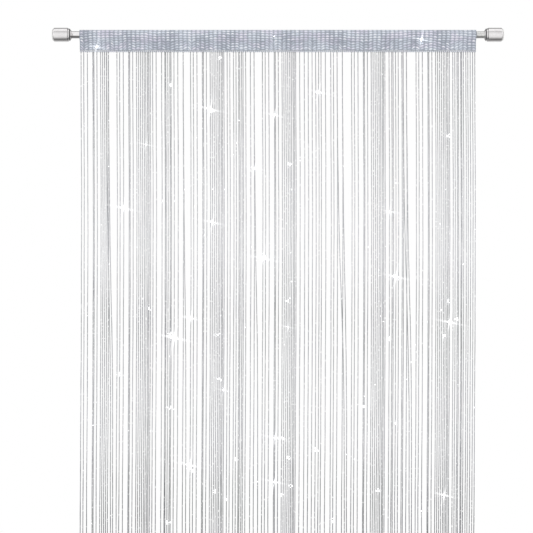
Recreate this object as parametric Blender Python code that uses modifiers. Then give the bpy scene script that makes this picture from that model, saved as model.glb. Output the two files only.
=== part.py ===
"""String door curtain on a tension rod.

Metres, +Z up. The origin is the middle of the flat left end. The rod runs along +X, the front faces -Y
and the strings hang along -Z.
"""

import math
import random

import bmesh
import bpy
from mathutils import Vector

# Driving sizes
OVERALL_LENGTH = 1.025
CURTAIN_WIDTH = 0.900
CURTAIN_DROP = 2.000
ROD_RADIUS = 0.0080
CAP_RADIUS = 0.0157
CAP_LENGTH = 0.0428
TOUCHING_GAP = 0.0003

# End caps and their soft pads
PAD_RADIUS = 0.0130
PAD_THICKNESS = 0.0022
PAD_ROUNDING = 0.0010
PAD_ROUNDING_STEPS = 2
CAP_END_ROUNDING = 0.0032
CAP_BODY_START = 0.0103
CAP_BEVEL_RADIUS = 0.0134
CAP_BEVEL_START = 0.0068
CAP_RIM_RADIUS = 0.0129
CAP_COLLAR_LENGTH = 0.0043
CAP_COLLAR_RADIUS = 0.0100
CAP_SOCKET_DEPTH = 0.0120
CAP_ROUNDING_STEPS = 4
ROUND_STEPS = 32

# Rod and the threaded spindle that lengthens it
SPINDLE_LENGTH = 0.0700
ROD_EDGE_ROUNDING = 0.0004

# Header: a band folded over the rod, stitched below it, with ribs across its height
HEADER_LEFT = 0.0625
HEADER_TOP = 0.0116
HEADER_BOTTOM = -0.0362
POCKET_RADIUS = 0.0085
POCKET_SHOULDER_WIDTH = 0.0068
POCKET_SHOULDER_HEIGHT = -0.0070
POCKET_BOTTOM = -0.0150
POCKET_OVERRUN = 0.0100
POCKET_ARC_STEPS = 10
RIB_COUNT = 92
RIB_HEIGHT = 0.0005
HEM_WAVE = 0.0002
HEM_WAVE_RIBS = 7

# Outside of the header in front of the rod, from the top down, at the foot of a rib:
# depth in front of the rod's centre, height, and the share of the rib's height that is raised there
HEADER_SECTION = (
    # depth, height, rib share
    (0.0070, 0.0086, 1.0),
    (0.0108, 0.0012, 1.0),
    (0.0092, -0.0075, 1.0),
    (0.0027, -0.0172, 0.3),
    (0.0029, -0.0205, 1.0),
    (0.0024, -0.0236, 0.3),
    (0.0027, -0.0300, 1.0),
    (0.0020, -0.0353, 0.6),
)

# Edge strip that binds the strings
STRIP_TOP = HEADER_BOTTOM - HEM_WAVE - TOUCHING_GAP
STRIP_HEIGHT = 0.0026
STRIP_THICKNESS = 0.0044

# Strings: a front layer, and followers that start hidden behind it and drift out lower down
STRING_RADIUS = 0.0009
STRING_ROOT = STRIP_TOP - 0.4 * STRIP_HEIGHT
STRING_LENGTH = STRING_ROOT - (HEADER_TOP - CURTAIN_DROP)
STRING_END_UNEVENNESS = 0.0060
STRING_LAYER_DEPTH = 0.0011
STRING_SEED = 25

# Course of every string down its length, with the share of its own drift that a follower has reached.
# A follower starts hidden behind a front string and ends in the gap beside its section.
STRING_COURSE = (
    # share of length, sideways sway, follower's share of drift
    (0.00, 0.0000, 0.00),
    (0.19, 0.0016, 0.10),
    (0.38, 0.0002, 0.85),
    (0.57, -0.0023, 1.00),
    (1.00, -0.0008, 1.00),
)

# The sections of the fringe open with the same run of strings, measured from their first string
LEAD_IN = (
    0.0, 0.0062, 0.0144, 0.0268, 0.0292, 0.0360, 0.0444, 0.0488,
    0.0533, 0.0576, 0.0619, 0.0655, 0.0694, 0.0722, 0.0756,
)

# Sections of the fringe: the first string, measured from the curtain's left edge, the number of
# strings taken from the lead-in, the section's own strings, measured from its first, and the drifts
# of the followers behind its last strings, from the last one inwards
SECTIONS = (
    # first, lead-in strings, own strings, followers' drifts
    (0.0025, 11, (), (0.0118, 0.0110)),
    (0.0840, 15, (0.0812, 0.0891, 0.1017, 0.1089, 0.1111, 0.1156, 0.1204, 0.1229, 0.1297, 0.1385,
                  0.1505), (0.0077,)),
    (0.2515, 15, (0.0831, 0.0892, 0.0976, 0.1032, 0.1092, 0.1118, 0.1161, 0.1193, 0.1252, 0.1361,
                  0.1443), (0.0102,)),
    (0.4149, 15, (0.0847, 0.0952, 0.1041, 0.1128, 0.1210, 0.1278, 0.1332, 0.1431, 0.1553, 0.1615, 0.1697,
                  0.1818), (0.0117, 0.0190)),
    (0.6176, 15, (0.0852, 0.0912, 0.0941, 0.0999, 0.1059, 0.1142, 0.1172, 0.1249), (0.0138, 0.0163)),
    (0.7641, 15, (0.0835, 0.0881, 0.0932, 0.0960, 0.1014, 0.1036, 0.1075, 0.1133, 0.1178, 0.1231, 0.1286,
                  0.1336), ()),
)

# Colour, metallic share and roughness of every finish
FINISHES = {
    # name: (colour, metallic, roughness)
    "soft_pad": ((0.72, 0.72, 0.71), 0.0, 0.6),
    "satin_metal": ((0.68, 0.66, 0.66), 1.0, 0.28),
    "rod_metal": ((0.66, 0.66, 0.67), 1.0, 0.22),
    "thread_metal": ((0.55, 0.56, 0.56), 1.0, 0.35),
    "header_knit": ((0.48, 0.51, 0.57), 0.1, 0.7),
    "string_yarn": ((0.50, 0.50, 0.51), 0.1, 0.7),
}


def clear_scene():
    """Remove every object that the scene starts with."""
    for scene_object in list(bpy.data.objects):
        bpy.data.objects.remove(scene_object, do_unlink=True)


def new_collection(name):
    """Add a collection under the scene's own."""
    collection = bpy.data.collections.new(name)
    bpy.context.scene.collection.children.link(collection)
    return collection


def make_material(name):
    """Make a Principled material from its row of FINISHES."""
    colour, metallic, roughness = FINISHES[name]
    material = bpy.data.materials.new(name)
    material.use_nodes = True
    shader = material.node_tree.nodes["Principled BSDF"]
    shader.inputs["Base Color"].default_value = (*colour, 1.0)
    shader.inputs["Metallic"].default_value = metallic
    shader.inputs["Roughness"].default_value = roughness
    material.diffuse_color = (*colour, 1.0)
    return material


def add_object(name, mesh, collection, material_name):
    """Link a mesh into a collection as an object with one material."""
    new_object = bpy.data.objects.new(name, mesh)
    collection.objects.link(new_object)
    new_object.data.materials.append(bpy.data.materials[material_name])
    return new_object


def rounded_edge(radius, top, rounding, steps):
    """Quarter circle of (radius, height) from the flat top of a turned shape round to its side."""
    points = []
    for step in range(steps + 1):
        angle = 0.5 * math.pi * step / steps
        inset = rounding * (1.0 - math.sin(angle))
        drop = rounding * (1.0 - math.cos(angle))
        points.append((radius - inset, top - drop))
    return points


def turned(name, profile, collection, material_name):
    """Turn a profile of (radius, height) about local Z; it runs down the outer side, top to bottom."""
    mesh = bpy.data.meshes.new(name)
    points = [(radius, 0.0, height) for radius, height in profile]
    edges = [(index, index + 1) for index in range(len(points) - 1)]
    mesh.from_pydata(points, edges, [])
    new_object = add_object(name, mesh, collection, material_name)
    screw = new_object.modifiers.new("Turn", "SCREW")
    screw.steps = ROUND_STEPS
    screw.render_steps = ROUND_STEPS
    screw.use_merge_vertices = True
    screw.merge_threshold = 0.00001
    screw.use_smooth_shade = True
    return new_object


def point_outwards(new_object, x, side):
    """Place a turned shape on the rod's line with its local Z towards the end that side (-1 or 1) names."""
    new_object.location = (x, 0.0, 0.0)
    new_object.rotation_euler = (0.0, side * 0.5 * math.pi, 0.0)


def build_pad(name, end_x, side, collection):
    """Soft pad whose flat face is the very end of the rod."""
    profile = [(0.0, PAD_THICKNESS)]
    profile += rounded_edge(PAD_RADIUS, PAD_THICKNESS, PAD_ROUNDING, PAD_ROUNDING_STEPS)
    profile += [(PAD_RADIUS, 0.0), (0.0, 0.0)]
    pad = turned(name, profile, collection, "soft_pad")
    point_outwards(pad, end_x - side * PAD_THICKNESS, side)


def build_cap(name, end_x, side, collection):
    """Cap with a rounded outer end, a bevelled inner end, a collar and a socket for the rod."""
    top = CAP_LENGTH - PAD_THICKNESS - TOUCHING_GAP
    rim = CAP_COLLAR_LENGTH
    bore = ROD_RADIUS + TOUCHING_GAP
    profile = [(0.0, top)]
    profile += rounded_edge(CAP_RADIUS, top, CAP_END_ROUNDING, CAP_ROUNDING_STEPS)
    profile += [
        (CAP_RADIUS, CAP_BODY_START),
        (CAP_BEVEL_RADIUS, CAP_BEVEL_START),
        (CAP_RIM_RADIUS, rim + TOUCHING_GAP),
        (CAP_COLLAR_RADIUS, rim),
        (CAP_COLLAR_RADIUS, 0.0),
        (bore, 0.0),
        (bore, CAP_SOCKET_DEPTH),
        (0.0, CAP_SOCKET_DEPTH),
    ]
    cap = turned(name, profile, collection, "satin_metal")
    point_outwards(cap, end_x - side * CAP_LENGTH, side)


def build_bar(name, start_x, end_x, collection, material_name):
    """Round bar along the rod's line with slightly rounded edges at both ends."""
    length = end_x - start_x
    inset = ROD_RADIUS - ROD_EDGE_ROUNDING
    profile = [
        (0.0, length),
        (inset, length),
        (ROD_RADIUS, length - ROD_EDGE_ROUNDING),
        (ROD_RADIUS, ROD_EDGE_ROUNDING),
        (inset, 0.0),
        (0.0, 0.0),
    ]
    bar = turned(name, profile, collection, material_name)
    point_outwards(bar, start_x, 1)


def build_rod(collection):
    """Rod from the left socket to the spindle, and the spindle from there into the right socket."""
    socket_end = CAP_LENGTH - CAP_SOCKET_DEPTH + TOUCHING_GAP
    spindle_start = OVERALL_LENGTH - CAP_LENGTH - SPINDLE_LENGTH
    build_bar("rod", socket_end, spindle_start - TOUCHING_GAP, collection, "rod_metal")
    build_bar("spindle", spindle_start, OVERALL_LENGTH - socket_end, collection, "thread_metal")


def header_ring(station, rib_share):
    """Outer ring of (y, z) points round the header: top, front side, lower edge and mirrored back side.

    rib_share is 0 at the foot of a rib and 1 on its crest.
    """
    raised = RIB_HEIGHT * rib_share
    hem = HEM_WAVE * math.sin(2.0 * math.pi * station / (2 * HEM_WAVE_RIBS))
    front = []
    for depth, height, share in HEADER_SECTION:
        front.append((-(depth + raised * share), height))
    back = [(-y, z) for y, z in reversed(front)]
    top = (0.0, HEADER_TOP - RIB_HEIGHT + raised)
    bottom = (0.0, HEADER_BOTTOM + hem)
    return [top] + front + [bottom] + back


def ribbed_sleeve_mesh(name):
    """Loft rings that stand alternately at the foot and on the crest of a rib, closed at both ends."""
    stations = 2 * RIB_COUNT
    builder = bmesh.new()
    rings = []
    for station in range(stations + 1):
        x = HEADER_LEFT + CURTAIN_WIDTH * station / stations
        ring = header_ring(station, station % 2)
        rings.append([builder.verts.new((x, y, z)) for y, z in ring])
    for left, right in zip(rings, rings[1:]):
        for index, corner in enumerate(left):
            following = (index + 1) % len(left)
            builder.faces.new((corner, left[following], right[following], right[index]))
    builder.faces.new(rings[0])
    builder.faces.new(rings[-1])
    bmesh.ops.recalc_face_normals(builder, faces=builder.faces)
    mesh = bpy.data.meshes.new(name)
    builder.to_mesh(mesh)
    builder.free()
    return mesh


def pocket_outline():
    """Drop-shaped (y, z) outline of the rod pocket: round over the rod, drawn together under it."""
    outline = []
    for step in range(POCKET_ARC_STEPS + 1):
        angle = math.pi * step / POCKET_ARC_STEPS
        outline.append((POCKET_RADIUS * math.cos(angle), POCKET_RADIUS * math.sin(angle)))
    outline.append((-POCKET_SHOULDER_WIDTH, POCKET_SHOULDER_HEIGHT))
    outline.append((0.0, POCKET_BOTTOM))
    outline.append((POCKET_SHOULDER_WIDTH, POCKET_SHOULDER_HEIGHT))
    return outline


def build_pocket_cutter(cutters):
    """Prism of the pocket's outline that runs out of both ends of the header."""
    start = HEADER_LEFT - POCKET_OVERRUN
    builder = bmesh.new()
    face = builder.faces.new([builder.verts.new((start, y, z)) for y, z in pocket_outline()])
    extruded = bmesh.ops.extrude_face_region(builder, geom=[face])
    moved = [item for item in extruded["geom"] if isinstance(item, bmesh.types.BMVert)]
    bmesh.ops.translate(builder, verts=moved, vec=(CURTAIN_WIDTH + 2.0 * POCKET_OVERRUN, 0.0, 0.0))
    bmesh.ops.recalc_face_normals(builder, faces=builder.faces)
    mesh = bpy.data.meshes.new("pocket_cutter")
    builder.to_mesh(mesh)
    builder.free()
    cutter = add_object("pocket_cutter", mesh, cutters, "header_knit")
    cutter.hide_render = True
    cutter.display_type = "WIRE"
    return cutter


def add_boolean(target, tool, operation):
    """Cut or join the target with a hidden tool object."""
    boolean = target.modifiers.new(operation.title(), "BOOLEAN")
    boolean.operation = operation
    boolean.solver = "EXACT"
    boolean.object = tool


def build_header(collection, cutters):
    """Ribbed header with the pocket cut through it for the rod."""
    header = add_object("header", ribbed_sleeve_mesh("header"), collection, "header_knit")
    add_boolean(header, build_pocket_cutter(cutters), "DIFFERENCE")


def section_strings():
    """(place, layer, drift) of every string from the curtain's left edge: each section and its followers."""
    strings = []
    for first, lead_in_count, own_offsets, drifts in SECTIONS:
        places = [first + offset for offset in LEAD_IN[:lead_in_count] + own_offsets]
        strings += [(place, -1, 0.0) for place in places]
        strings += [(place, 1, drift) for place, drift in zip(reversed(places), drifts)]
    return strings


def string_points(place, layer, drift, length):
    """Points down one string. layer is -1 in front and 1 behind; drift is a follower's own way aside."""
    points = []
    for share, sway, drift_share in STRING_COURSE:
        x = HEADER_LEFT + place + sway + drift * drift_share
        points.append(Vector((x, layer * STRING_LAYER_DEPTH, STRING_ROOT - length * share)))
    return points


def all_string_points():
    """Points of every string, with slightly uneven lengths."""
    lengths = random.Random(STRING_SEED)
    strings = []
    for place, layer, drift in section_strings():
        length = STRING_LENGTH - lengths.uniform(0.0, STRING_END_UNEVENNESS)
        strings.append(string_points(place, layer, drift, length))
    return strings


def strings_mesh():
    """All strings as four-sided tubes with welded end caps."""
    curve = bpy.data.curves.new("strings", "CURVE")
    curve.dimensions = "3D"
    curve.bevel_depth = STRING_RADIUS
    curve.bevel_resolution = 0
    curve.use_fill_caps = True
    for points in all_string_points():
        spline = curve.splines.new("POLY")
        spline.points.add(len(points) - 1)
        for spline_point, point in zip(spline.points, points):
            spline_point.co = (*point, 1.0)
    guide = bpy.data.objects.new("strings", curve)
    bpy.context.scene.collection.objects.link(guide)
    bpy.context.view_layer.update()
    evaluated = guide.evaluated_get(bpy.context.evaluated_depsgraph_get())
    mesh = bpy.data.meshes.new_from_object(evaluated)
    bpy.data.objects.remove(guide, do_unlink=True)
    builder = bmesh.new()
    builder.from_mesh(mesh)
    bmesh.ops.remove_doubles(builder, verts=builder.verts, dist=0.00001)
    bmesh.ops.recalc_face_normals(builder, faces=builder.faces)
    builder.to_mesh(mesh)
    builder.free()
    return mesh


def build_fringe(collection, cutters):
    """Edge strip with all strings fused into it."""
    bpy.ops.mesh.primitive_cube_add(size=1.0)
    strip = bpy.context.active_object
    strip.name = "string_fringe"
    strip.data.transform(
        ((CURTAIN_WIDTH, 0, 0, 0), (0, STRIP_THICKNESS, 0, 0), (0, 0, STRIP_HEIGHT, 0), (0, 0, 0, 1))
    )
    strip.location = (HEADER_LEFT + 0.5 * CURTAIN_WIDTH, 0.0, STRIP_TOP - 0.5 * STRIP_HEIGHT)
    strip.data.materials.append(bpy.data.materials["string_yarn"])
    for old_collection in list(strip.users_collection):
        old_collection.objects.unlink(strip)
    collection.objects.link(strip)
    strings = add_object("strings_to_join", strings_mesh(), cutters, "string_yarn")
    strings.hide_render = True
    strings.display_type = "WIRE"
    add_boolean(strip, strings, "UNION")


def main():
    """Build the curtain, its rod and the rod's ends."""
    clear_scene()
    parts = new_collection("String_Door_Curtain")
    cutters = new_collection("Cutters")
    for name in FINISHES:
        make_material(name)
    build_pad("left_pad", 0.0, -1, parts)
    build_cap("left_cap", 0.0, -1, parts)
    build_rod(parts)
    build_cap("right_cap", OVERALL_LENGTH, 1, parts)
    build_pad("right_pad", OVERALL_LENGTH, 1, parts)
    build_header(parts, cutters)
    build_fringe(parts, cutters)


main()
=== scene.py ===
"""Looks of a string door curtain on its tension rod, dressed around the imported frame.

Metres, +Z up, the rod along +X, the front towards -Y. Every new piece is a surface worked out as whole
numpy arrays in that frame and sits at the origin.
"""

import logging
import math
import random
from dataclasses import dataclass, field
from enum import Enum

import bpy
import numpy as np
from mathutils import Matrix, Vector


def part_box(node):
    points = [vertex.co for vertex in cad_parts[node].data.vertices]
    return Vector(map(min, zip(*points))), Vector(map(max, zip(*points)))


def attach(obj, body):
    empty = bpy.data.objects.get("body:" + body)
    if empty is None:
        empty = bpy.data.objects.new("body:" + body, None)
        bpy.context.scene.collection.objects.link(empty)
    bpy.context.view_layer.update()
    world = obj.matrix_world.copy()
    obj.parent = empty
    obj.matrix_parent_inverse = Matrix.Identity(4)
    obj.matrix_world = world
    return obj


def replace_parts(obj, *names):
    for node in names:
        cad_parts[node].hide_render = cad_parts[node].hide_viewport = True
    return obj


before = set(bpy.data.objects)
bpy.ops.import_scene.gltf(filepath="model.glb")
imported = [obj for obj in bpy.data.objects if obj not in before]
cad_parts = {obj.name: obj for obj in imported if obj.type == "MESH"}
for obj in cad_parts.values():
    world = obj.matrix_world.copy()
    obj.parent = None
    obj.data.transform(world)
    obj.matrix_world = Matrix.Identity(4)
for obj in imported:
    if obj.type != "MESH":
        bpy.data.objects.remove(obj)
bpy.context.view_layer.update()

log = logging.getLogger("curtain")

Faces = list[np.ndarray]
Triple = tuple[float, float, float]


class Side(Enum):
    """An end of the rod, as the sign of the X direction that it faces."""

    LEFT = -1
    RIGHT = 1


class Layer(Enum):
    """The two layers of strings, as the sign of their depth."""

    FRONT = -1
    BEHIND = 1


def linear(red: int, green: int, blue: int) -> Triple:
    """Turn a screen colour into the linear one that shaders take.

    Args:
        red: Red from 0 to 255.
        green: Green from 0 to 255.
        blue: Blue from 0 to 255.

    Returns:
        Linear red, green and blue from 0 to 1.
    """
    shares = [channel / 255 for channel in (red, green, blue)]
    return tuple(s / 12.92 if s <= 0.04045 else ((s + 0.055) / 1.055) ** 2.4 for s in shares)


class Signal:
    """A value that runs through a shader: one output socket that can be used in Python arithmetic."""

    def __init__(self, tree: bpy.types.NodeTree, socket: bpy.types.NodeSocket) -> None:
        """Wrap a socket.

        Args:
            tree: The node tree that the socket belongs to.
            socket: An output socket.
        """
        self.tree = tree
        self.socket = socket

    def math(self, operation: str, *others: "Signal | float") -> "Signal":
        """Add a Math node whose first value is this signal.

        Args:
            operation: The node's operation.
            others: The node's other values, in order.

        Returns:
            The node's result.
        """
        return math_node(self.tree, operation, self, *others)

    def __add__(self, other: "Signal | float") -> "Signal":
        """Add."""
        return self.math("ADD", other)

    def __radd__(self, other: float) -> "Signal":
        """Add to a number."""
        return self.math("ADD", other)

    def __sub__(self, other: "Signal | float") -> "Signal":
        """Subtract."""
        return self.math("SUBTRACT", other)

    def __rsub__(self, other: float) -> "Signal":
        """Subtract from a number."""
        return math_node(self.tree, "SUBTRACT", other, self)

    def __mul__(self, other: "Signal | float") -> "Signal":
        """Multiply."""
        return self.math("MULTIPLY", other)

    def __rmul__(self, other: float) -> "Signal":
        """Multiply a number."""
        return self.math("MULTIPLY", other)

    def __truediv__(self, other: "Signal | float") -> "Signal":
        """Divide."""
        return self.math("DIVIDE", other)

    def wave(self) -> "Signal":
        """Sine of the signal, brought to 0 to 1."""
        return self.math("SINE") * 0.5 + 0.5

    def step(self, low: float, high: float) -> "Signal":
        """Rise smoothly from 0 to 1.

        Args:
            low: Where the rise starts.
            high: Where it ends.

        Returns:
            The smooth step.
        """
        node = self.tree.nodes.new("ShaderNodeMapRange")
        node.interpolation_type = "SMOOTHSTEP"
        self.tree.links.new(self.socket, node.inputs["Value"])
        node.inputs["From Min"].default_value = low
        node.inputs["From Max"].default_value = high
        return Signal(self.tree, node.outputs["Result"])


def math_node(tree: bpy.types.NodeTree, operation: str, *values: Signal | float) -> Signal:
    """Add a Math node.

    Args:
        tree: The node tree to add it to.
        operation: The node's operation.
        values: Signals or numbers for its inputs, in order.

    Returns:
        The node's result.
    """
    node = tree.nodes.new("ShaderNodeMath")
    node.operation = operation
    for socket, value in zip(node.inputs, values):
        plug(tree, socket, value)
    return Signal(tree, node.outputs[0])


def plug(tree: bpy.types.NodeTree, socket: bpy.types.NodeSocket, value: object) -> None:
    """Link a signal to an input, or set the input's own value.

    Args:
        tree: The node tree.
        socket: The input.
        value: A Signal, a number or a tuple.
    """
    if isinstance(value, Signal):
        tree.links.new(value.socket, socket)
    elif isinstance(value, tuple) and len(value) == 3 and socket.type == "RGBA":
        socket.default_value = (*value, 1.0)
    else:
        socket.default_value = value


class Shader:
    """Builds one material around a Principled shader."""

    def __init__(self, name: str, tree: bpy.types.NodeTree | None = None) -> None:
        """Start a material, or work in a tree that is there.

        Args:
            name: The material's name.
            tree: A node tree to use in place of a new material's.
        """
        self.material = None
        if tree is None:
            self.material = bpy.data.materials.new(name)
            self.material.use_nodes = True
            tree = self.material.node_tree
        self.tree = tree

    def node(self, kind: str, settings: dict | None = None, values: dict | None = None) -> bpy.types.Node:
        """Add any node.

        Args:
            kind: The node's type.
            settings: Its properties, which are set first.
            values: What its inputs take, by name or number: signals, numbers or tuples.

        Returns:
            The new node.
        """
        made = self.tree.nodes.new(kind)
        for name, value in (settings or {}).items():
            setattr(made, name, value)
        for name, value in (values or {}).items():
            plug(self.tree, made.inputs[name], value)
        return made

    def out(self, made: bpy.types.Node, name: str | int = 0) -> Signal:
        """Take one output of a node as a signal.

        Args:
            made: The node.
            name: The output's name or number.

        Returns:
            The output.
        """
        return Signal(self.tree, made.outputs[name])

    def place(self, scale: Triple = (1.0, 1.0, 1.0)) -> Signal:
        """Object coordinates, stretched by a scale.

        Args:
            scale: Factors along X, Y and Z.

        Returns:
            The stretched coordinates.
        """
        coordinates = self.out(self.node("ShaderNodeTexCoord"), "Object")
        mapping = self.node("ShaderNodeMapping", values={"Vector": coordinates, "Scale": scale})
        return self.out(mapping)

    def axes(self, vector: Signal) -> tuple[Signal, Signal, Signal]:
        """Split a vector.

        Args:
            vector: The vector.

        Returns:
            Its three components.
        """
        split = self.node("ShaderNodeSeparateXYZ", values={"Vector": vector})
        return self.out(split, 0), self.out(split, 1), self.out(split, 2)

    def noise(self, scale: float, detail: float, stretch: Triple = (1.0, 1.0, 1.0)) -> Signal:
        """Noise from 0 to 1.

        Args:
            scale: Cells per metre.
            detail: Octaves.
            stretch: Further factors along X, Y and Z.

        Returns:
            The noise.
        """
        settings = {"Vector": self.place(stretch), "Scale": scale, "Detail": detail}
        return self.out(self.node("ShaderNodeTexNoise", values=settings), 0)

    def ramp(self, value: Signal, stops: list[tuple[float, float]]) -> Signal:
        """Grey tone that runs evenly from stop to stop.

        Args:
            value: Where it is read, from 0 to 1.
            stops: Places and their tones.

        Returns:
            The tone, as a colour.
        """
        made = self.node("ShaderNodeValToRGB", values={"Fac": value})
        elements = made.color_ramp.elements
        while len(elements) < len(stops):
            elements.new(1.0)
        for element, (place, tone) in zip(elements, stops):
            element.position = place
            element.color = (tone, tone, tone, 1.0)
        return self.out(made)

    def attribute(self, name: str) -> Signal:
        """Read a number that the mesh carries at its points.

        Args:
            name: The attribute's name.

        Returns:
            The number.
        """
        return self.out(self.node("ShaderNodeAttribute", {"attribute_name": name}), "Fac")

    def blend(self, share: Signal | float, first: object, second: object) -> Signal:
        """Mix two colours.

        Args:
            share: 0 gives the first, 1 the second.
            first: A colour or a colour signal.
            second: A colour or a colour signal.

        Returns:
            The mixed colour.
        """
        mix = self.node("ShaderNodeMix", {"data_type": "RGBA"})
        plug(self.tree, mix.inputs[0], share)
        plug(self.tree, mix.inputs[6], first)
        plug(self.tree, mix.inputs[7], second)
        return Signal(self.tree, mix.outputs[2])

    def bump(self, height: Signal, depth: float, strength: float = 1.0) -> Signal:
        """Turn a height into a normal.

        Args:
            height: The height, from 0 to 1.
            depth: How many metres a height of 1 stands for.
            strength: The bump's strength.

        Returns:
            The bent normal.
        """
        values = {"Strength": strength, "Distance": depth, "Height": height}
        return self.out(self.node("ShaderNodeBump", values=values), "Normal")

    def finish(self, **values: object) -> bpy.types.Material:
        """Set the Principled shader's inputs.

        Args:
            values: Input names, with underscores for spaces, and what they take.

        Returns:
            The finished material.
        """
        shader = self.tree.nodes["Principled BSDF"]
        for name, value in values.items():
            plug(self.tree, shader.inputs[name.replace("_", " ")], value)
        return self.material


@dataclass(frozen=True)
class SatinMetal:
    """Turned and brushed metal of the caps and the rod."""

    name: str = "satin_metal_turned"
    colour: Triple = (0.93, 0.915, 0.915)
    worn_colour: Triple = (0.86, 0.84, 0.845)
    painted_shade: Triple = (0.10, 0.10, 0.10)
    roughness: float = 0.10
    line_scale: Triple = (3000.0, 60.0, 60.0)
    bump: float = 0.3
    middle: float = 0.5125
    # Painted shade on the lower side: height where it starts, height where it is full, and its depth
    painted_underside_shade: Triple = (-1.0, -1.1, 0.0)
    # Rings of painted shade at the cap's inner end: distance from the nearer end of the rod where each begins and
    # stops, and its depth
    rings: tuple = ((0.0353, 0.0367, 0.75), (0.0391, 0.0417, 0.92))

    def material(self) -> bpy.types.Material:
        """Make the material: hair lines across the turning axis, a faint cloud in colour and gloss, and painted
        shade in rings and on the lower side.

        Returns:
            The material.
        """
        shader = Shader(self.name)
        lines = shader.noise(1.0, 3.0, self.line_scale)
        cloud = shader.noise(90.0, 3.0)
        x, _, z = shader.axes(shader.place())
        reach = self.middle - (x - self.middle).math("ABSOLUTE")
        metal = shader.blend(cloud.step(0.35, 0.75), self.colour, self.worn_colour)
        # Painted shade in the grooves and socket mouth at the cap's inner end
        for start, end, depth in self.rings:
            ring = reach.step(start - 0.0003, start + 0.0003) * (1.0 - reach.step(end - 0.0003, end + 0.0003))
            metal = shader.blend(ring * depth, metal, self.painted_shade)
        # Painted shade on the lower side
        start, full, depth = self.painted_underside_shade
        metal = shader.blend((z * -1.0).step(-start, -full) * depth, metal, self.painted_shade)
        return shader.finish(
            Base_Color=metal,
            Metallic=1.0,
            Roughness=self.roughness + lines * 0.08 + cloud * 0.04,
            Normal=shader.bump(lines, 0.00002, self.bump),
        )


@dataclass(frozen=True)
class ThreadMetal:
    """Zinc plated thread of the spindle, with painted shade in its roots and on its lower side."""

    name: str = "zinc_thread"
    crest_colour: Triple = (0.95, 0.95, 0.94)
    painted_root_shade: Triple = (0.50, 0.50, 0.48)

    def material(self) -> bpy.types.Material:
        """Make the material: colour and gloss follow the thread's height, with painted shade in the roots and on
        the lower side.

        Returns:
            The material.
        """
        shader = Shader(self.name)
        height = shader.attribute("relief")
        cloud = shader.noise(300.0, 3.0)
        _, _, z = shader.axes(shader.place())
        # Painted shade in the thread's roots
        metal = shader.blend(height.step(0.1, 0.8), self.painted_root_shade, self.crest_colour)
        return shader.finish(
            # Painted shade on the spindle's lower side
            Base_Color=shader.blend((z * -1.0).step(0.0025, 0.0045) * 0.5, metal, self.painted_root_shade),
            Metallic=1.0,
            Roughness=0.30 - height * 0.14 + cloud * 0.08,
        )


@dataclass(frozen=True)
class SoftPad:
    """Pale rubber of the end pads."""

    name: str = "pale_rubber"
    colour: Triple = (0.90, 0.90, 0.89)
    soiled_colour: Triple = (0.80, 0.79, 0.77)

    def material(self) -> bpy.types.Material:
        """Make the material: fine grain and a faint soiling in patches.

        Returns:
            The material.
        """
        shader = Shader(self.name)
        grain = shader.noise(4000.0, 2.0)
        patches = shader.noise(180.0, 3.0)
        return shader.finish(
            Base_Color=shader.blend(patches.step(0.45, 0.8), self.colour, self.soiled_colour),
            Roughness=0.55 + grain * 0.15,
            Normal=shader.bump(grain, 0.00003, 0.4),
        )


@dataclass(frozen=True)
class RibbedKnit:
    """Silver-blue knit of the header, with painted light on its stitches and painted shade between them."""

    name: str = "silver_knit"
    # Painted shade between the stitches
    groove: Triple = linear(156, 162, 174)
    stitch: Triple = linear(226, 233, 244)
    lilac: Triple = linear(228, 226, 242)
    # Painted highlight on the tops of the stitches
    painted_stitch_highlight: Triple = linear(254, 254, 255)
    edge: Triple = linear(170, 176, 182)
    fibre_pitch: float = 0.0011

    def material(self) -> bpy.types.Material:
        """Make the material: painted light and shade by the stitches' relief with a painted highlight on their
        tops, soft patches of hue, and twisted fibres.

        Returns:
            The material.
        """
        shader = Shader(self.name)
        relief = shader.attribute("relief")
        rim = shader.attribute("rim")
        x, y, z = shader.axes(shader.place())
        patches = shader.noise(26.0, 2.0, (1.0, 1.0, 2.0))
        fleece = shader.noise(900.0, 3.0)
        fibres = ((x * 0.6 + z + y) * (math.tau / self.fibre_pitch) + fleece * 5.0).wave()
        stitch_colour = shader.blend(patches.step(0.45, 0.62), self.stitch, self.lilac)
        shade = shader.noise(21.0, 3.0, (1.0, 0.3, 0.3)).step(0.42, 0.64)
        # Painted light on the stitches and painted shade in the grooves between them
        lit = (relief * 0.86 + fleece * 0.28 - shade * 0.17).step(0.05, 0.74)
        colour = shader.blend(lit, self.groove, stitch_colour)
        # Painted highlight on the tops of the stitches
        colour = shader.blend((relief + fleece * 0.3).step(0.82, 1.15), colour, self.painted_stitch_highlight)
        return shader.finish(
            Base_Color=shader.blend(rim * 0.5, colour, self.edge),
            Roughness=0.62 - relief * 0.12 + fleece * 0.10,
            Metallic=0.12,
            Sheen_Weight=0.25,
            Sheen_Roughness=0.4,
            Normal=shader.bump(fibres * 0.6 + fleece * 0.4, 0.00022, 0.7),
        )


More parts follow.
